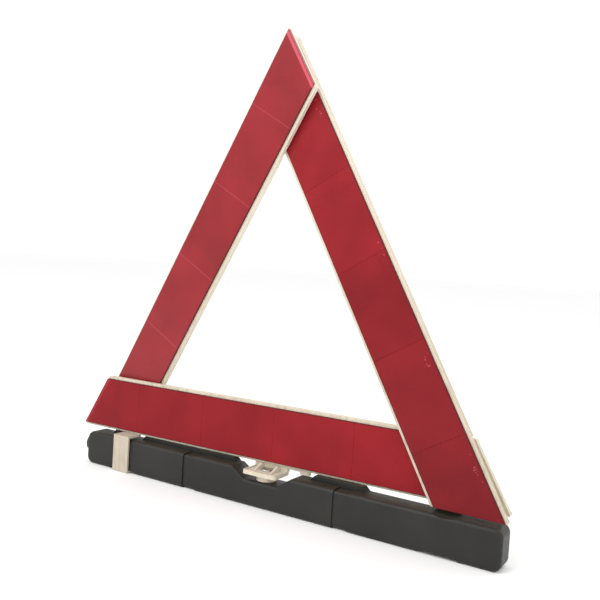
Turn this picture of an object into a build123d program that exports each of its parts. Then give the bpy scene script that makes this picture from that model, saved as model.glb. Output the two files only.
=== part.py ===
from build123d import *
from math import atan, degrees, sqrt
import os

# A folding warning triangle on a long moulded foot. Millimetres, +Z up, the reflectors face -Y.
# The origin is the centre of the foot's underside.
# Three equal arms are woven: each lies in front of one neighbour and behind the other. "Front end"
# and "rear end" of an arm mean the end that lies in front at its corner and the end that lies behind.

# Triangle
SIDE = 450.0                 # between the corners of the outer lines
OUTER_LINE_Z = 33.5          # height of the bottom outer line
CENTRE_X = -5.75             # the triangle's centre line, against the middle of the foot
PLANE_Y = 2.5                # the middle plane of the weave, against the middle of the foot
WEAVE = 10.0                 # depth from one arm's reflectors to the other's where they cross

# One arm. S runs along it from its front end, O inwards across it, Z to the front, 0 on the tiles.
ARM_OUTER_O = 3.1
ARM_INNER_O = 56.5
RIM_Z = -2.0                 # the tiles stand proud of the frame round them
BACK_Z = -7.0
FLANGE_Z = -9.2              # back of the deeper outer wall
RECESS_Z = -6.0              # back of the front end, where it crosses its neighbour
FRONT_CUT = 1.0              # from a corner's outer line to the front end
REAR_CUT = 3.8               # from a corner's outer line to the rear end
CROSSING_WIDTH = 60.0
LAND_WIDTH = 54.0            # bare rear end, hidden under the neighbour
WALL = 2.0
WEB = 1.3
LEDGE = 1.6
RIB = 1.6
CORNER_R = 1.0
GROOVE_WIDTH = 0.9
GROOVE_DEPTH = 0.5
GROOVE_LEVELS = (-4.4, -6.9)
BEYOND = 30.0                # how far cutting tools reach past what they cut
REACH = ARM_INNER_O + BEYOND

# Reflector tiles
TILE_OUTER_O = 5.2
TILE_INNER_O = 53.6
TILE_CUT = 1.35
TILE_THICK = 3.0
TILE_GAP = 0.1
TILE_FIT = 0.15
TILE_CHAMFER = 0.15
TILE_COUNT = 5
FIRST_SEAM = 75.0
SEAM_PITCH = 78.8

# Corner pivots
PIN_R = 2.5
PIN_RUNNING = 0.06
PIN_SEAT = 2.4               # length of a pin in the front arm's boss
PIN_HEAD_R = 6.0
PIN_HEAD = 1.4
PIN_HEAD_CLEAR = 0.4
FRONT_BOSS_R = 7.0
REAR_BOSS_R = 8.5
SPACER_R = 7.5
COLLAR_R = 5.0
COLLAR = 1.2
PIN_BEARING = 2.9            # length of a pin in the rear arm
END_PLAY = 0.5
STUD_SHORT = 0.6             # gap from the corner stud to the arm behind it

# Foot
FOOT_LENGTH = 427.5
FOOT_DEPTH = 23.0
FOOT_HEIGHT = 32.3
FOOT_WALL = 2.2
FOOT_EDGE_R = 3.4
FOOT_CORNER_R = 7.0
SADDLE_TOP = 63.0
SADDLE_BOTTOM = 34.0
SADDLE_DEPTH = 9.3
SADDLE_R = 4.0
BAND_X = 80.0
BAND_WIDTH = 14.0
BAND_DEPTH = 1.1
RECESS_WIDTH = 36.0
RECESS_SLOPE = 4.0
RECESS_DEPTH = 2.7
RAIL_TOP = 36.3
RAIL_FRONT_Y = 0.8
RAIL_RUNOUT = 4.0
RAIL_SPANS = ((-190.0, -179.0), (-150.0, -34.0), (44.0, 98.0))
SCOOP_R = 32.6               # clears the front end of the right arm as it turns
VENT_X = 62.0
VENT_Y = -4.0
VENT_R = 1.3
PLUG_R = 9.5
PLUG_Z = 18.5
PLUG_CAP = 4.0
PLUG_NECK_R = 6.5
PLUG_NECK = 8.0
FILL_LEVEL = 19.0

# Hooks and swivel bracket, all on the bottom arm
SEAT_Z = OUTER_LINE_Z + ARM_OUTER_O
PLATE_CLEAR = 0.4            # from the hooks and gussets to an arm folded above them
HOOK_X = 164.5
HOOK_WIDTH = 19.5
HOOK_THICK = 2.0
HOOK_LIP = 11.0
HOOK_CLEAR = 0.4
HOOK_GROUND = 0.3
BRACKET_WIDTH = 34.0
BRACKET_FRONT_Y = -13.8
BRACKET_BACK_Y = 10.8
PLATE_TOP = 31.4
PLATE_THICK = 2.6
LIP = 1.0
RISER_FRONT_Y = 6.4
GUSSET_X = 8.5
GUSSET_THICK = 1.8
STRIP_END_X = 39.0
STRIP_THICK = 1.6
TAB_WIDTH = 9.0
TAB_BOTTOM = 32.8
HUB_R = 9.0
HUB_GAP = 0.3
SCREW_R = 3.0
SCREW_RUNNING = 0.06
SCREW_DEPTH = 12.0
SCREW_HEAD_R = 5.5
SCREW_HEAD = 1.6
SOCKET_R = 6.5
SOCKET_FLOOR = 2.0

ROOT3 = sqrt(3.0)
PIVOT_O = (ARM_OUTER_O + ARM_INNER_O) / 2
LEAN = atan(WEAVE / (SIDE - 2 * ROOT3 * PIVOT_O))
MIDDLE_Z = OUTER_LINE_Z + SIDE / (2 * ROOT3)
SHELF_Z = -TILE_THICK
NOTCH_FLOOR = FOOT_HEIGHT - SADDLE_DEPTH
HALF_DEPTH = FOOT_DEPTH / 2


def along_front(distance, offset):
    """S of the point that far from the front corner's outer line and that far inwards."""
    return (distance + offset / 2) * 2 / ROOT3


def along_rear(distance, offset):
    """S of the point that far from the rear corner's outer line and that far inwards."""
    return SIDE - along_front(distance, offset)


def arm_place(turn):
    """Where an arm's own S, O, Z frame lies: leaned through the weave, then turned about the centre."""
    to_middle = Pos(-SIDE / 2, -SIDE / (2 * ROOT3), 0)
    lean = Rot(0, degrees(LEAN), 0)
    return Pos(CENTRE_X, PLANE_Y, MIDDLE_Z) * Rot(0, -turn, 0) * Rot(90, 0, 0) * lean * to_middle


# Turns about the triangle's centre, as seen from the front.
PLACES = {"bottom": arm_place(0), "right": arm_place(120), "left": arm_place(240)}


def normal(place):
    """The direction that an arm's reflectors face."""
    return (place * Pos(0, 0, 1)).position - place.position


def run(place):
    """The direction from an arm's front end to its rear end."""
    return (place * Pos(1, 0, 0)).position - place.position


class Pivot:
    """The turn that lays an arm's front end flat, and the other way round, on the arm behind it."""

    def __init__(self, front_arm, rear_arm):
        front = PLACES[front_arm]
        rear = PLACES[rear_arm]
        near = (front * Pos(along_front(PIVOT_O, PIVOT_O), PIVOT_O, RECESS_Z)).position
        far = (rear * Pos(along_rear(PIVOT_O, PIVOT_O), PIVOT_O, RIM_Z)).position
        # The axis is square to what the turn changes: the arm's normal and its direction.
        lift = normal(rear) - normal(front)
        swing = run(rear) * -1 - run(front)
        axis = lift.cross(swing).normalized()
        self.direction = axis if axis.Y < 0 else axis * -1
        self.point = (near + far) * 0.5
        self.gap = (near - far).length
        start = run(front) - self.direction * run(front).dot(self.direction)
        end = run(rear) * -1
        end = end - self.direction * end.dot(self.direction)
        self.angle = start.get_signed_angle(end, self.direction)

    def cylinder(self, low, high, radius):
        """On the pivot's line, between two distances from its middle, positive to the front."""
        frame = Plane(origin=self.point, z_dir=self.direction)
        return frame.location * Pos(0, 0, (low + high) / 2) * Cylinder(radius, high - low)


PIVOTS = {
    "right": Pivot("right", "bottom"),
    "left": Pivot("left", "right"),
    "bottom": Pivot("bottom", "left"),
}


def prism(points, low, high):
    """A closed outline in S and O, between two depths."""
    return Pos(0, 0, low) * extrude(make_face(Polyline(*points, close=True)), high - low)


def arm_slab(outer, inner, front, rear, low, high):
    """A bar with both ends cut at sixty degrees, that far from the corners' outer lines."""
    points = (
        (along_front(front, outer), outer),
        (along_rear(rear, outer), outer),
        (along_rear(rear, inner), inner),
        (along_front(front, inner), inner),
    )
    return prism(points, low, high)


def front_half(width, low, high):
    """Everything within that width of the front corner's outer line."""
    points = (
        (along_front(-BEYOND, -BEYOND), -BEYOND),
        (along_front(width, -BEYOND), -BEYOND),
        (along_front(width, REACH), REACH),
        (along_front(-BEYOND, REACH), REACH),
    )
    return prism(points, low, high)


def rear_half(width, low, high):
    """Everything within that width of the rear corner's outer line."""
    points = (
        (along_rear(width, -BEYOND), -BEYOND),
        (along_rear(-BEYOND, -BEYOND), -BEYOND),
        (along_rear(-BEYOND, REACH), REACH),
        (along_rear(width, REACH), REACH),
    )
    return prism(points, low, high)


def across(start, end, low, high):
    """A square block right across an arm, between two places along it."""
    place = Pos((start + end) / 2, PIVOT_O, (low + high) / 2)
    return place * Box(end - start, 2 * REACH, high - low)


def along(offset, width, low, high):
    """A block right along an arm, centred that far inwards."""
    place = Pos(SIDE / 2, offset, (low + high) / 2)
    return place * Box(SIDE + 2 * BEYOND, width, high - low)


def boss(s, radius):
    return Pos(s, PIVOT_O, 0) * Cylinder(radius, 2 * BEYOND)


def seams():
    return [FIRST_SEAM + SEAM_PITCH * index for index in range(TILE_COUNT - 1)]


def tray_hollow():
    """The space under the tiles, with a rib under each seam and one under each tile."""
    hollow = arm_slab(
        TILE_OUTER_O + LEDGE, TILE_INNER_O - LEDGE, FRONT_CUT + WALL, LAND_WIDTH + WALL, BACK_Z + WEB, SHELF_Z
    )
    hollow -= front_half(CROSSING_WIDTH + WALL, BACK_Z, RECESS_Z + WEB)
    for seam in seams():
        hollow -= across(seam - RIB, seam + RIB, BACK_Z, SHELF_Z)
        middle = seam + SEAM_PITCH / 2
        hollow -= across(middle - RIB / 2, middle + RIB / 2, BACK_Z, SHELF_Z)
    return hollow - boss(along_front(PIVOT_O, PIVOT_O), FRONT_BOSS_R)


def rear_pocket():
    """The space behind the bare rear end, open at the back, with a boss and two ribs through it."""
    pocket = arm_slab(
        ARM_OUTER_O + WALL, ARM_INNER_O - WALL, -BEYOND, REAR_CUT + WALL, FLANGE_Z - 1, RIM_Z - WEB
    )
    pocket &= rear_half(LAND_WIDTH - WALL, FLANGE_Z - 1, RIM_Z - WEB)
    pivot_s = along_rear(PIVOT_O, PIVOT_O)
    pocket -= across(pivot_s - RIB / 2, pivot_s + RIB / 2, BACK_Z, RIM_Z)
    pocket -= along(PIVOT_O, RIB, BACK_Z, RIM_Z)
    return pocket - boss(pivot_s, REAR_BOSS_R)


def arm_moulding():
    """The tray that carries the tiles: a deeper outer wall, a thinner front end and a bare rear end."""
    body = arm_slab(ARM_OUTER_O, ARM_INNER_O, FRONT_CUT, REAR_CUT, FLANGE_Z, RIM_Z)
    body = fillet(body.edges().filter_by(Axis.Z), CORNER_R)
    body -= arm_slab(ARM_OUTER_O + WALL, REACH, -BEYOND, -BEYOND, FLANGE_Z - 1, BACK_Z)
    body -= front_half(CROSSING_WIDTH, FLANGE_Z - 1, RECESS_Z)
    body -= arm_slab(
        TILE_OUTER_O - TILE_FIT, TILE_INNER_O + TILE_FIT, -BEYOND, LAND_WIDTH - TILE_FIT, SHELF_Z, BEYOND
    )
    body -= tray_hollow()
    body -= rear_pocket()
    for level in GROOVE_LEVELS:
        body -= along(ARM_OUTER_O, 2 * GROOVE_DEPTH, level - GROOVE_WIDTH / 2, level + GROOVE_WIDTH / 2)
    return body


# Which pivot is at each arm's rear end.
REAR_PIVOT = {"bottom": "right", "right": "left", "left": "bottom"}


def arm_frame(name):
    """An arm's moulding in its place, bored for the pin in its front end and the one in its rear end."""
    front = PIVOTS[name]
    rear = PIVOTS[REAR_PIVOT[name]]
    floor = -(rear.gap / 2 + PIN_BEARING)
    body = PLACES[name] * arm_moulding()
    body -= front.cylinder(0, front.gap / 2 + PIN_SEAT, PIN_R)
    body -= rear.cylinder(-BEYOND, 0, PIN_R + PIN_RUNNING)
    body -= rear.cylinder(-BEYOND, floor, PIN_HEAD_R + PIN_HEAD_CLEAR)
    return body


def reflectors(name):
    """An arm's tiles, from its front end to its rear end."""
    slab = arm_slab(TILE_OUTER_O, TILE_INNER_O, TILE_CUT, LAND_WIDTH, SHELF_Z, 0)
    ends = [-BEYOND] + seams() + [SIDE + BEYOND]
    tiles = []
    for start, end in zip(ends, ends[1:]):
        tile = slab & across(start + TILE_GAP / 2, end - TILE_GAP / 2, SHELF_Z, 0)
        front_edges = tile.faces().sort_by(Axis.Z)[-1].edges()
        tiles.append(PLACES[name] * chamfer(front_edges, TILE_CHAMFER))
    return tiles


def pivot_pin(name):
    """Pressed into the front arm, turning in the rear arm, with its head sunk in that arm's back."""
    pivot = PIVOTS[name]
    head_front = -(pivot.gap / 2 + PIN_BEARING + END_PLAY)
    shank = pivot.cylinder(head_front, pivot.gap / 2 + PIN_SEAT, PIN_R)
    return shank + pivot.cylinder(head_front - PIN_HEAD, head_front, PIN_HEAD_R)


def under_front_end(name, ring, thickness):
    """A disc on a pivot's line, trimmed flush with the back of the front arm."""
    arm_ahead = PLACES[name] * Pos(along_front(PIVOT_O, PIVOT_O), PIVOT_O, RECESS_Z + BEYOND / 2)
    half = PIVOTS[name].gap / 2
    return PIVOTS[name].cylinder(half - thickness, half + 1, ring) - arm_ahead * Box(BEYOND, BEYOND, BEYOND)


def pivot_spacer(name):
    pivot = PIVOTS[name]
    ring = under_front_end(name, SPACER_R, pivot.gap - END_PLAY)
    return ring - pivot.cylinder(-BEYOND, BEYOND, PIN_R)


def corner_stud():
    """Pressed into the bottom arm's front end; its tip stops just short of the left arm."""
    pivot = PIVOTS["bottom"]
    stud = pivot.cylinder(STUD_SHORT - pivot.gap / 2, pivot.gap / 2 + PIN_SEAT, PIN_R)
    return stud + under_front_end("bottom", COLLAR_R, COLLAR)


def side_prism(points, front, back):
    """A closed outline in X and Z, between two depths in Y."""
    outline = make_face(Polyline(*[(x, 0, z) for x, z in points], close=True))
    return Pos(0, back, 0) * extrude(outline, back - front, dir=(0, -1, 0))


def block(x, y, z):
    """A box between two places in each direction."""
    place = Pos((x[0] + x[1]) / 2, (y[0] + y[1]) / 2, (z[0] + z[1]) / 2)
    return place * Box(x[1] - x[0], y[1] - y[0], z[1] - z[0])


def foot_outline(inset):
    """The foot from the front, without its recesses, drawn in by a wall's thickness."""
    half = FOOT_LENGTH / 2 - inset
    top = FOOT_HEIGHT - inset
    floor = NOTCH_FLOOR - inset
    notch_top = SADDLE_TOP / 2 + inset
    notch_bottom = SADDLE_BOTTOM / 2 + inset
    return (
        (-half, inset), (half, inset), (half, top), (notch_top, top), (notch_bottom, floor),
        (-notch_bottom, floor), (-notch_top, top), (-half, top),
    )


def hook_recess(x, wall):
    """The shallow arch under the foot where a hook's lip goes, grown by a wall's thickness."""
    bottom = RECESS_WIDTH / 2 + wall
    top = bottom - RECESS_SLOPE
    height = RECESS_DEPTH + wall
    left_side = ((x - bottom, -1), (x - bottom, 0), (x - top, height))
    right_side = ((x + top, height), (x + bottom, 0), (x + bottom, -1))
    return side_prism(left_side + right_side, -BEYOND, BEYOND)


def foot_blank():
    """The rounded outside of the foot, with its saddle notch."""
    blank = side_prism(foot_outline(0), -HALF_DEPTH, HALF_DEPTH)
    upright = blank.edges().filter_by(Axis.Y)
    corners = upright.filter_by(lambda edge: abs(edge.center().X) > SADDLE_TOP)
    blank = fillet(corners, FOOT_CORNER_R)
    notch = blank.edges().filter_by(Axis.Y).filter_by(lambda edge: abs(edge.center().X) < SADDLE_TOP)
    blank = fillet(notch, SADDLE_R)
    faces = blank.faces().sort_by(Axis.Y)
    return fillet(faces[0].edges() + faces[-1].edges(), FOOT_EDGE_R)


def foot_cavity():
    side = HALF_DEPTH - FOOT_WALL - BAND_DEPTH
    cavity = side_prism(foot_outline(FOOT_WALL), -side, side)
    for x in (-HOOK_X, HOOK_X):
        cavity -= hook_recess(x, FOOT_WALL)
    return cavity


def socket():
    """The post inside the foot that takes the swivel screw."""
    low = NOTCH_FLOOR - SCREW_DEPTH - SOCKET_FLOOR
    return Pos(0, 0, (low + NOTCH_FLOOR) / 2) * Cylinder(SOCKET_R, NOTCH_FLOOR - low)


def band(x):
    """A shallow groove right round the foot."""
    core = Box(BAND_WIDTH, FOOT_DEPTH - 2 * BAND_DEPTH, FOOT_HEIGHT - 2 * BAND_DEPTH)
    core = fillet(core.edges().filter_by(Axis.X), FOOT_EDGE_R - BAND_DEPTH)
    ring = Box(BAND_WIDTH, 2 * FOOT_DEPTH, 2 * FOOT_HEIGHT) - core
    return Pos(x, 0, FOOT_HEIGHT / 2) * ring


def rail(start, end):
    """A stretch of the rib on the foot's top, just under the bottom arm."""
    base = FOOT_HEIGHT - FOOT_WALL
    points = ((start, base), (end, base), (end, FOOT_HEIGHT), (end - RAIL_RUNOUT, RAIL_TOP),
              (start + RAIL_RUNOUT, RAIL_TOP), (start, FOOT_HEIGHT))
    return side_prism(points, RAIL_FRONT_Y, HALF_DEPTH - FOOT_EDGE_R)


def foot_body():
    body = foot_blank()
    for x in (-BAND_X, BAND_X):
        body -= band(x)
    for start, end in RAIL_SPANS:
        body += rail(start, end)
    for x in (-HOOK_X, HOOK_X):
        body -= hook_recess(x, 0)
    turn = PIVOTS["right"].point
    body -= Pos(turn.X, 0, turn.Z) * Rot(90, 0, 0) * Cylinder(SCOOP_R, 2 * FOOT_DEPTH)
    body -= foot_cavity() - socket()
    screw_floor = NOTCH_FLOOR - SCREW_DEPTH - HUB_GAP
    body -= Pos(0, 0, (screw_floor + FOOT_HEIGHT) / 2) * Cylinder(
        SCREW_R + SCREW_RUNNING, FOOT_HEIGHT - screw_floor
    )
    body -= plug_cylinder(PLUG_NECK_R, 0, PLUG_NECK)
    return body - Pos(VENT_X, VENT_Y, FOOT_HEIGHT) * Cylinder(VENT_R, 3 * FOOT_WALL)


def plug_cylinder(radius, start, end):
    """Along X through the left end of the foot, between two distances inwards from its face."""
    place = Pos((start + end - FOOT_LENGTH) / 2, 0, PLUG_Z) * Rot(0, 90, 0)
    return place * Cylinder(radius, end - start)


def filler_plug():
    cap = plug_cylinder(PLUG_R, -PLUG_CAP, 0)
    cap = fillet(cap.edges().sort_by(Axis.X)[0], PLUG_CAP / 2)
    return cap + plug_cylinder(PLUG_NECK_R, 0, PLUG_NECK)


def ballast_fill():
    """The loose weight inside the foot, as it settles round the socket and below the plug."""
    fill = foot_cavity() & block((-FOOT_LENGTH, FOOT_LENGTH), (-FOOT_DEPTH, FOOT_DEPTH), (0, FILL_LEVEL))
    return fill - socket() - plug_cylinder(PLUG_NECK_R, 0, PLUG_NECK)


def bottom_arm_y(x, depth):
    """Y of a point that far behind the bottom arm's tiles, at that X."""
    return PLANE_Y + (x - CENTRE_X) * WEAVE / (SIDE - 2 * ROOT3 * PIVOT_O) + depth


def hook(x, side, arm_back):
    """A flat hook from under the arm, down one side of the foot (-1 front, 1 rear) and under it."""
    inner = side * (HALF_DEPTH + HOOK_CLEAR)
    outer = inner + side * HOOK_THICK
    tip = outer - side * HOOK_LIP
    width = (x - HOOK_WIDTH / 2, x + HOOK_WIDTH / 2)
    rim = bottom_arm_y(width[1], -RIM_Z)
    back = bottom_arm_y(width[0], arm_back)
    top = SEAT_Z - PLATE_CLEAR
    plate_y = (min(outer, rim), max(outer, back))
    shape = block(width, plate_y, (top - HOOK_THICK, top))
    shape += block(width, (rim, back), (top - HOOK_THICK, SEAT_Z))
    shape += block(width, tuple(sorted((inner, outer))), (HOOK_GROUND, top))
    return shape + block(width, tuple(sorted((tip, outer))), (HOOK_GROUND, HOOK_GROUND + HOOK_THICK))


def gusset(x):
    ramp_foot = BRACKET_FRONT_Y + 3 * LIP + HOOK_THICK
    top = SEAT_Z - PLATE_CLEAR
    front = RISER_FRONT_Y / 2
    points = ((0, ramp_foot, PLATE_TOP), (0, RISER_FRONT_Y, PLATE_TOP), (0, RISER_FRONT_Y, top), (0, front, top))
    outline = make_face(Polyline(*points, close=True))
    return Pos(x - GUSSET_THICK / 2, 0, 0) * extrude(outline, GUSSET_THICK, dir=(1, 0, 0))


def swivel_bracket():
    """A lipped plate with a riser up to the arm, two gussets, a hub, and a strip to an end tab."""
    half = BRACKET_WIDTH / 2
    bottom = PLATE_TOP - PLATE_THICK
    plate = block((-half, half), (BRACKET_FRONT_Y, BRACKET_BACK_Y), (bottom, PLATE_TOP + LIP))
    plate = fillet(plate.edges().filter_by(Axis.Z), 2 * LIP)
    plate -= block((LIP - half, half - LIP), (BRACKET_FRONT_Y + LIP, BRACKET_BACK_Y), (PLATE_TOP, SEAT_Z))
    plate += block((-half, half), (RISER_FRONT_Y, BRACKET_BACK_Y), (PLATE_TOP, SEAT_Z))
    plate += block((-half, STRIP_END_X), (RISER_FRONT_Y, BRACKET_BACK_Y), (SEAT_Z - STRIP_THICK, SEAT_Z))
    plate += block((STRIP_END_X - TAB_WIDTH, STRIP_END_X), (RISER_FRONT_Y, BRACKET_BACK_Y), (TAB_BOTTOM, SEAT_Z))
    for x in (-GUSSET_X, GUSSET_X):
        plate += gusset(x)
    hub_bottom = NOTCH_FLOOR + HUB_GAP
    plate += Pos(0, 0, (hub_bottom + bottom) / 2) * Cylinder(HUB_R, bottom - hub_bottom)
    return plate - Pos(0, 0, NOTCH_FLOOR) * Cylinder(SCREW_R, 2 * BEYOND)


def swivel_screw():
    bottom = NOTCH_FLOOR - SCREW_DEPTH
    shank = Pos(0, 0, (bottom + PLATE_TOP) / 2) * Cylinder(SCREW_R, PLATE_TOP - bottom)
    head = Pos(0, 0, PLATE_TOP + SCREW_HEAD / 2) * Cylinder(SCREW_HEAD_R, SCREW_HEAD)
    head = chamfer(head.edges().sort_by(Axis.Z)[-1], LIP / 2)
    return shank + head


def all_parts():
    parts = {
        "foot_body": foot_body(),
        "filler_plug": filler_plug(),
        "ballast_fill": ballast_fill(),
        "front_hook": hook(-HOOK_X, -1, -RECESS_Z),
        "rear_hook": hook(HOOK_X, 1, -FLANGE_Z),
        "swivel_bracket": swivel_bracket(),
        "swivel_screw": swivel_screw(),
        "corner_stud": corner_stud(),
        "right_pivot_pin": pivot_pin("right"),
        "right_pivot_spacer": pivot_spacer("right"),
        "apex_pivot_pin": pivot_pin("left"),
        "apex_pivot_spacer": pivot_spacer("left"),
    }
    for name in PLACES:
        parts[name + "_arm_frame"] = arm_frame(name)
        for number, tile in enumerate(reflectors(name), 1):
            parts[name + "_reflector_" + str(number)] = tile
    return parts


os.makedirs("parts", exist_ok=True)
for node, shape in all_parts().items():
    export_step(shape, "parts/" + node + ".step")
for corner, pivot in PIVOTS.items():
    print(corner, "pivot", tuple(pivot.point), "direction", tuple(pivot.direction), "angle", pivot.angle)
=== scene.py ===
import math

import bpy
from mathutils import Matrix, Vector


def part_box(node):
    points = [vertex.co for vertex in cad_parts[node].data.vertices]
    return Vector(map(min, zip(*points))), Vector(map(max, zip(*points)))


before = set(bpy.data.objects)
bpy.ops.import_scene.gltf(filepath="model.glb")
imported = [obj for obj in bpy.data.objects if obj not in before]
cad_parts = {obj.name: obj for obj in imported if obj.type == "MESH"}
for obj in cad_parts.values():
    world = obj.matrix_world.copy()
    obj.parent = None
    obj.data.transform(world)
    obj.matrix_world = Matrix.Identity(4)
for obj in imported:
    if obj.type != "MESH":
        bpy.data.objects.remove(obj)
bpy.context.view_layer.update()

# The looks of a folding warning triangle on its foot. Metres, in the part's own frame: the foot's
# underside is z 0 and the reflectors face -Y. Colours are linear.

# Camera, angles in degrees
CAMERA_PLACE = (0.3518, -0.5411, 0.2154)
CAMERA_AZIMUTH = 31.29
CAMERA_ELEVATION = 2.76
CAMERA_ROLL = 3.63
CAMERA_LENS = 44.24
CAMERA_SENSOR = 36.0
CAMERA_NEAREST = 0.01

# Studio
FLOOR_SIZE = 40
FLOOR_COLOUR = (0.93, 0.93, 0.93)
FLOOR_ROUGHNESS = 0.9
SKY = 1.05
LIT_POINT = (0, 0, 0.2)
# Each lamp's place, size, power and colour.
LAMPS = {
    "key": ((-0.9, -1.6, 1.9), 1.6, 26.0, (1, 0.985, 0.96)),
    "fill": ((1.8, -1.2, 0.9), 1.8, 12.0, (1, 0.99, 0.97)),
    "back": ((0.6, 1.8, 1.6), 1.6, 10.0, (1, 1, 1)),
}

# Arms. Turns are in degrees about the triangle's middle, seen from the front.
ARMS = ("bottom", "right", "left")
ARM_TURN = {"bottom": 0.0, "right": 120.0, "left": 240.0}

# Places on an arm, measured from the triangle's middle: X along it, Y inwards.
ARM_HALF = 0.225
OUTER_LINE = -ARM_HALF / math.sqrt(3)
TILE_MIDDLE = OUTER_LINE + 0.0294
TILE_HALF = 0.0242
FIRST_SEAM = 0.075 - ARM_HALF
SEAM_PITCH = 0.0788

# Reflector tiles
RED_DEEP = (0.225, 0.010, 0.015)
RED_LIGHT = (0.330, 0.016, 0.023)
RED_EDGE = (0.100, 0.008, 0.012)
# RED_BRIGHT is also the colour of the painted highlight by the front cut and of the painted
# glints.
RED_BRIGHT = (0.640, 0.110, 0.150)
GLOSS = {"bottom": 0.10, "right": 0.14, "left": 0.28}
# Painted shade: brightness at each arm's front end and rear end, for how the light falls along
# each arm.
PAINTED_SHADE = {"bottom": (0.78, 0.94), "right": (0.62, 1.0), "left": (0.98, 0.86)}
SEAM_COLOUR = {"bottom": RED_LIGHT, "right": RED_LIGHT, "left": RED_BRIGHT}
SEAM_STRENGTH = {"bottom": 0.6, "right": 0.3, "left": 0.35}
# Painted highlight: a bright strip on the bevel beside each arm's front cut.
CUT_HIGHLIGHT_STRENGTH = {"bottom": 0.2, "right": 0.0, "left": 0.75}
CUT_HIGHLIGHT_PLACE = 0.0034         # from the front cut's corner line
CUT_HIGHLIGHT_WIDTH = 0.0009
EDGE_WIDTH = 0.0009
EDGE_STRENGTH = 0.8
TILE_VARIATION = 0.35
FIRST_SHADE = 7.0            # seeds the tiles' shades, SHADE_STEP further on for each arm
SHADE_STEP = 10
PRISMS_PER_METRE = 420.0
PRISM_STRENGTH = 0.16
# Painted glints: sparkling prisms in a lane near the right arm's outer edge.
GLINT_STRENGTH = {"bottom": 0.0, "right": 0.75, "left": 0.0}
GLINTS_PER_METRE = 520.0
GLINT_RADIUS = 0.33          # as a share of a cell
GLINT_LANE = 0.0100          # from the outer line
GLINT_LANE_WIDTH = 0.0016

# Cream plastic
CREAM = (0.720, 0.655, 0.540)
CREAM_DEEP = (0.630, 0.565, 0.450)
CREAM_DIRT = (0.340, 0.265, 0.160)
DIRT_TOP = 0.30              # no dirt above this height
DIRT_SLOPE = 3.2
STREAK_STRETCH = (1.0, 3.0, 0.22)

# Black plastic, steel and sand
BLACK = (0.0, 0.0, 0.0)
BLACK_DEEP = (0.012, 0.012, 0.011)
BLACK_LIGHT = (0.022, 0.021, 0.018)
# The next colour is for the scuffs and for the painted reflection on faces that look up.
DUST_AND_SHEEN = (0.085, 0.073, 0.050)
SCUFF_STRETCH = (0.25, 1.0, 1.0)
ZINC_DEEP = (0.42, 0.42, 0.40)
ZINC_LIGHT = (0.66, 0.66, 0.63)
SAND_DEEP = (0.30, 0.26, 0.20)
SAND_LIGHT = (0.52, 0.46, 0.36)


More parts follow.
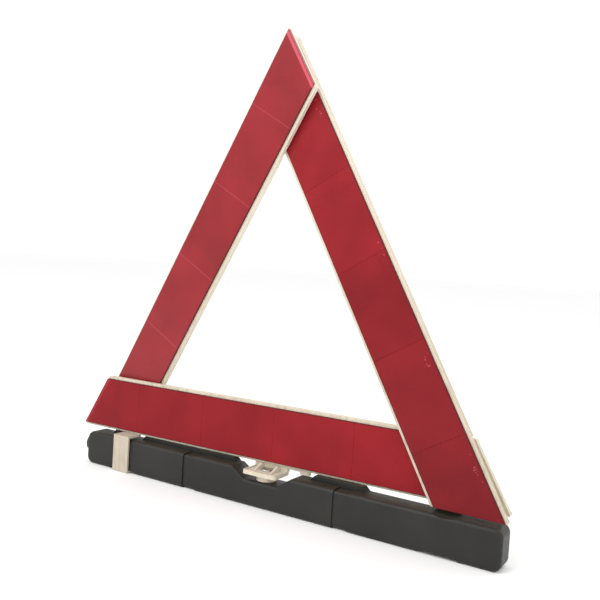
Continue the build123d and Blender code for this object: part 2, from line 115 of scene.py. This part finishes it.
class Look:
    """One material's node tree, with its usual nodes as calls."""

    def __init__(self, name, roughness, specular):
        self.material = bpy.data.materials.new(name)
        self.material.use_nodes = True
        self.nodes = self.material.node_tree.nodes
        self.links = self.material.node_tree.links
        self.shader = self.nodes["Principled BSDF"]
        self.finish("Roughness", roughness)
        self.finish("Specular IOR Level", specular)

    def put(self, socket, value):
        """Links a socket where the value is another node's output, and sets it where it isn't."""
        if isinstance(value, bpy.types.NodeSocket):
            self.links.new(value, socket)
        elif socket.type == "RGBA":
            socket.default_value = (*value, 1)
        else:
            socket.default_value = value

    def finish(self, name, value):
        self.put(self.shader.inputs[name], value)

    def place(self):
        return self.nodes.new("ShaderNodeTexCoord").outputs["Object"]

    def split(self, vector):
        node = self.nodes.new("ShaderNodeSeparateXYZ")
        self.put(node.inputs[0], vector)
        return node.outputs

    def maths(self, operation, *values):
        node = self.nodes.new("ShaderNodeMath")
        node.operation = operation
        for socket, value in zip(node.inputs, values):
            self.put(socket, value)
        return node.outputs[0]

    def times(self, first, second):
        return self.maths("MULTIPLY", first, second)

    def minus(self, first, second):
        return self.maths("SUBTRACT", first, second)

    def clamp(self, value):
        return self.maths("MAXIMUM", self.maths("MINIMUM", value, 1.0), 0.0)

    def rise(self, value, start, slope):
        """0 as far as the start, then up to 1 at that slope."""
        return self.clamp(self.times(self.minus(value, start), slope))

    def near(self, value, centre, width):
        """1 within a width of the centre, fading to 0 over the same width again."""
        off = self.maths("ABSOLUTE", self.minus(value, centre))
        return self.clamp(self.minus(2.0, self.maths("DIVIDE", off, width)))

    def mix(self, factor, first, second):
        node = self.nodes.new("ShaderNodeMix")
        node.data_type = "RGBA"
        self.put(node.inputs["Factor"], factor)
        self.put(node.inputs["A"], first)
        self.put(node.inputs["B"], second)
        return node.outputs["Result"]

    def ramp(self, value, start, end):
        """A colour between two stops, each a position and a colour."""
        node = self.nodes.new("ShaderNodeValToRGB")
        for element, (position, colour) in zip(node.color_ramp.elements, (start, end)):
            element.position = position
            element.color = (*colour, 1)
        self.put(node.inputs["Fac"], value)
        return node.outputs["Color"]

    def noise(self, place, scale, detail, roughness=0.55, stretch=None):
        if stretch:
            mapping = self.nodes.new("ShaderNodeMapping")
            mapping.inputs["Scale"].default_value = stretch
            self.put(mapping.inputs["Vector"], place)
            place = mapping.outputs["Vector"]
        node = self.nodes.new("ShaderNodeTexNoise")
        node.inputs["Scale"].default_value = scale
        node.inputs["Detail"].default_value = detail
        node.inputs["Roughness"].default_value = roughness
        self.put(node.inputs["Vector"], place)
        return node.outputs["Fac"]

    def cells(self, place, per_metre):
        node = self.nodes.new("ShaderNodeTexVoronoi")
        node.inputs["Scale"].default_value = per_metre
        self.put(node.inputs["Vector"], place)
        return node

    def roughen(self, value, start, end):
        """Roughness between two stops, each a position and a roughness."""
        stops = [(position, (roughness,) * 3) for position, roughness in (start, end)]
        self.finish("Roughness", self.ramp(value, *stops))

    def bump(self, height, strength, distance, under=None):
        """Relief on the surface, over any that is under it."""
        node = self.nodes.new("ShaderNodeBump")
        node.inputs["Strength"].default_value = strength
        node.inputs["Distance"].default_value = distance
        self.put(node.inputs["Height"], height)
        if under:
            self.put(node.inputs["Normal"], under)
        self.finish("Normal", node.outputs["Normal"])
        return node.outputs["Normal"]


def camera():
    azimuth = math.radians(CAMERA_AZIMUTH)
    elevation = math.radians(CAMERA_ELEVATION)
    roll = math.radians(CAMERA_ROLL)
    level = math.cos(elevation)
    back = Vector((math.sin(azimuth) * level, -math.cos(azimuth) * level, math.sin(elevation)))
    right = Vector((math.cos(azimuth), math.sin(azimuth), 0))
    up = back.cross(right)
    rolled_right = right * math.cos(roll) + up * math.sin(roll)
    rolled_up = up * math.cos(roll) - right * math.sin(roll)
    turn = Matrix((rolled_right, rolled_up, back)).transposed().to_4x4()
    eye = bpy.data.objects.new("camera", bpy.data.cameras.new("camera"))
    eye.matrix_world = Matrix.Translation(CAMERA_PLACE) @ turn
    eye.data.lens = CAMERA_LENS
    eye.data.sensor_width = CAMERA_SENSOR
    eye.data.clip_start = CAMERA_NEAREST
    bpy.context.collection.objects.link(eye)
    bpy.context.scene.camera = eye


def area_light(name, place, size, power, colour):
    lamp = bpy.data.lights.new(name, "AREA")
    lamp.size = size
    lamp.energy = power
    lamp.color = colour
    holder = bpy.data.objects.new(name, lamp)
    holder.location = place
    holder.rotation_euler = (Vector(LIT_POINT) - Vector(place)).to_track_quat("-Z", "Y").to_euler()
    bpy.context.collection.objects.link(holder)


def studio():
    """A pale floor, a white sky and soft lamps."""
    paint = Look("floor_paint", FLOOR_ROUGHNESS, 0.5)
    paint.finish("Base Color", FLOOR_COLOUR)
    bpy.ops.mesh.primitive_plane_add(size=FLOOR_SIZE, location=(0, 0, 0))
    floor = bpy.context.active_object
    floor.name = "floor"
    floor.data.materials.append(paint.material)
    world = bpy.data.worlds.new("sky")
    world.use_nodes = True
    background = world.node_tree.nodes["Background"]
    background.inputs["Color"].default_value = (1, 1, 1, 1)
    background.inputs["Strength"].default_value = SKY
    bpy.context.scene.world = world
    for name, lamp in LAMPS.items():
        area_light(name, *lamp)
    bpy.context.scene.view_settings.view_transform = "Standard"


def triangle_middle():
    """The average of the middles of the pieces at the three corners."""
    middle = Vector()
    for name in ("right_pivot_spacer", "apex_pivot_spacer", "corner_stud"):
        low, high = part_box(name)
        middle += (Vector(low) + Vector(high)) / 6
    return middle


def arm_place(look, arm):
    """Coordinates with X along an arm, Y inwards across it and Z out of its face."""
    mapping = look.nodes.new("ShaderNodeMapping")
    mapping.vector_type = "TEXTURE"
    mapping.inputs["Location"].default_value = triangle_middle()
    mapping.inputs["Rotation"].default_value = (math.radians(90), math.radians(-ARM_TURN[arm]), 0)
    look.put(mapping.inputs["Vector"], look.place())
    return mapping.outputs["Vector"]


def tile_shade(look, arm, steps):
    """A number from 0 to 1, the same all over a tile. Whole steps count the tiles."""
    node = look.nodes.new("ShaderNodeTexWhiteNoise")
    node.noise_dimensions = "1D"
    seed = FIRST_SHADE + ARMS.index(arm) * SHADE_STEP
    look.put(node.inputs["W"], look.maths("ADD", look.maths("FLOOR", steps), seed))
    return node.outputs["Value"]


def prism_walls(look, place):
    node = look.cells(place, PRISMS_PER_METRE)
    node.feature = "DISTANCE_TO_EDGE"
    node.inputs["Randomness"].default_value = 0.15
    return look.rise(node.outputs["Distance"], 1 / 9, -9.0)


def seam_line(look, steps):
    from_middle = look.maths("ABSOLUTE", look.minus(look.maths("FRACT", steps), 0.5))
    return look.rise(from_middle, 0.492, 220.0)


def edge_lines(look, inward):
    """The two long edges of the tiles."""
    from_middle = look.maths("ABSOLUTE", look.minus(inward, TILE_MIDDLE))
    return look.rise(from_middle, TILE_HALF - EDGE_WIDTH, 1400.0)


def front_cut_highlight(look, along, inward):
    """A painted highlight in a strip beside the front cut, which runs at sixty degrees to the arm.
    """
    offset = look.times(look.minus(inward, OUTER_LINE), 0.5)
    from_corner = look.times(look.maths("ADD", along, ARM_HALF), math.sqrt(3) / 2)
    return look.near(look.minus(from_corner, offset), CUT_HIGHLIGHT_PLACE, CUT_HIGHLIGHT_WIDTH)


def painted_glints(look, place, inward):
    """Painted glints of sparkling prisms, in patches along a lane near the outer edge."""
    node = look.cells(place, GLINTS_PER_METRE)
    chance = look.nodes.new("ShaderNodeSeparateColor")
    look.put(chance.inputs[0], node.outputs["Color"])
    chosen = look.maths("GREATER_THAN", chance.outputs[0], 0.80)
    inside = look.maths("LESS_THAN", node.outputs["Distance"], GLINT_RADIUS)
    lane = look.near(inward, OUTER_LINE + GLINT_LANE, GLINT_LANE_WIDTH)
    patches = look.maths("GREATER_THAN", look.noise(place, 14.0, 1.0), 0.52)
    return look.times(look.times(look.times(chosen, inside), lane), patches)


def painted_end_shade(look, arm, along):
    """Painted shade: brightness changing evenly from an arm's front end to its rear end, as the
    light falls along it.
    """
    front, rear = PAINTED_SHADE[arm]
    slope = (rear - front) / (2 * ARM_HALF)
    return look.maths("ADD", look.times(along, slope), (front + rear) / 2)


def reflector(arm):
    """Moulded red prism sheet under a smooth glossy face, one tone a tile, with painted shade
    along the arm, a painted highlight by the front cut and painted glints.
    """
    look = Look("reflector_" + arm, 0.3, GLOSS[arm])
    place = arm_place(look, arm)
    sides = look.split(place)
    along = sides["X"]
    inward = sides["Y"]
    steps = look.maths("DIVIDE", look.minus(along, FIRST_SEAM), SEAM_PITCH)
    walls = prism_walls(look, place)
    colour = look.ramp(look.noise(place, 16.0, 2.0), (0.30, RED_DEEP), (0.72, RED_LIGHT))
    marks = (
        (tile_shade(look, arm, steps), TILE_VARIATION, RED_LIGHT),
        (walls, PRISM_STRENGTH, RED_EDGE),
        (seam_line(look, steps), SEAM_STRENGTH[arm], SEAM_COLOUR[arm]),
        (edge_lines(look, inward), EDGE_STRENGTH, RED_EDGE),
        (front_cut_highlight(look, along, inward), CUT_HIGHLIGHT_STRENGTH[arm], RED_BRIGHT),
        (painted_glints(look, place, inward), GLINT_STRENGTH[arm], RED_BRIGHT),
    )
    for amount, strength, tint in marks:
        colour = look.mix(look.times(amount, strength), colour, tint)
    # Painted shade, darkening the colour evenly towards one end of the arm.
    look.finish("Base Color", look.mix(painted_end_shade(look, arm, along), BLACK, colour))
    look.roughen(look.noise(place, 60.0, 4.0), (0.3, 0.26), (0.8, 0.42))
    ripple = look.bump(look.noise(place, 35.0, 1.0), 0.10, 0.002)
    look.bump(walls, 0.06, 0.0003, ripple)
    return look.material


def cream(name, dirt, tone):
    """Aged pale plastic, browner low down and in streaks."""
    look = Look(name, 0.5, 0.4)
    place = look.place()
    mottled = look.noise(place, 55.0, 5.0)
    colour = look.ramp(mottled, (0.25, CREAM_DEEP), (0.7, CREAM))
    low_down = look.rise(look.split(place)["Z"], DIRT_TOP, -DIRT_SLOPE)
    streaks = look.rise(look.noise(place, 240.0, 3.0, stretch=STREAK_STRETCH), 0.42, 3.0)
    patchy = look.maths("ADD", look.times(streaks, 0.7), 0.3)
    colour = look.mix(look.times(patchy, look.times(low_down, dirt)), colour, CREAM_DIRT)
    look.finish("Base Color", look.mix(tone, BLACK, colour))
    look.roughen(mottled, (0.2, 0.42), (0.8, 0.62))
    look.bump(look.noise(place, 300.0, 2.0), 0.08, 0.0003)
    return look.material


def black_plastic():
    """Moulded black plastic with a fine satin grain and scuffs, and a painted reflection of the
    bright surroundings on faces that look up.
    """
    look = Look("black_foot", 0.45, 0.30)
    place = look.place()
    colour = look.ramp(look.noise(place, 22.0, 4.0), (0.3, BLACK_DEEP), (0.75, BLACK_LIGHT))
    scuffs = look.noise(place, 260.0, 5.0, 0.7, stretch=SCUFF_STRETCH)
    colour = look.mix(look.times(look.rise(scuffs, 0.60, 2.2), 0.25), colour, DUST_AND_SHEEN)
    # Painted reflection: faces that look up are lightened towards the khaki colour, as the bright
    # surroundings reflect in them.
    normal = look.nodes.new("ShaderNodeNewGeometry").outputs["Normal"]
    upward_sheen = look.rise(look.split(normal)["Z"], 0.75, 3.0)
    look.finish("Base Color", look.mix(look.times(upward_sheen, 0.32), colour, DUST_AND_SHEEN))
    look.roughen(scuffs, (0.3, 0.36), (0.8, 0.56))
    grain = look.bump(look.noise(place, 1600.0, 2.0), 0.14, 0.0003)
    look.bump(look.noise(place, 28.0, 2.0), 0.25, 0.0012, grain)
    return look.material


def zinc():
    """Zinc-plated steel."""
    look = Look("zinc_steel", 0.35, 0.5)
    place = look.place()
    look.finish("Metallic", 1.0)
    mottled = look.noise(place, 300.0, 4.0)
    look.finish("Base Color", look.ramp(mottled, (0.3, ZINC_DEEP), (0.7, ZINC_LIGHT)))
    look.bump(look.noise(place, 1200.0, 2.0), 0.1, 0.0002)
    return look.material


def sand():
    look = Look("ballast_sand", 0.9, 0.2)
    grains = look.noise(look.place(), 1500.0, 3.0)
    look.finish("Base Color", look.ramp(grains, (0.3, SAND_DEEP), (0.7, SAND_LIGHT)))
    look.bump(grains, 0.5, 0.0005)
    return look.material


def dress():
    """A material on every node."""
    reflectors = {arm: reflector(arm) for arm in ARMS}
    frame_cream = cream("cream_frame", 0.95, 1.0)
    fitting_cream = cream("cream_fittings", 0.55, 0.80)
    black = black_plastic()
    steel = zinc()
    by_node = {
        "swivel_bracket": cream("cream_bracket", 0.35, 0.97),
        "foot_body": black,
        "filler_plug": black,
        "ballast_fill": sand(),
        "right_pivot_pin": steel,
        "apex_pivot_pin": steel,
        "swivel_screw": steel,
    }
    for name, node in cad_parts.items():
        if "_reflector_" in name:
            material = reflectors[name.split("_")[0]]
        elif name.endswith("_arm_frame"):
            material = frame_cream
        else:
            material = by_node.get(name, fitting_cream)
        for slot in node.material_slots:
            slot.material = material


camera()
studio()
dress()
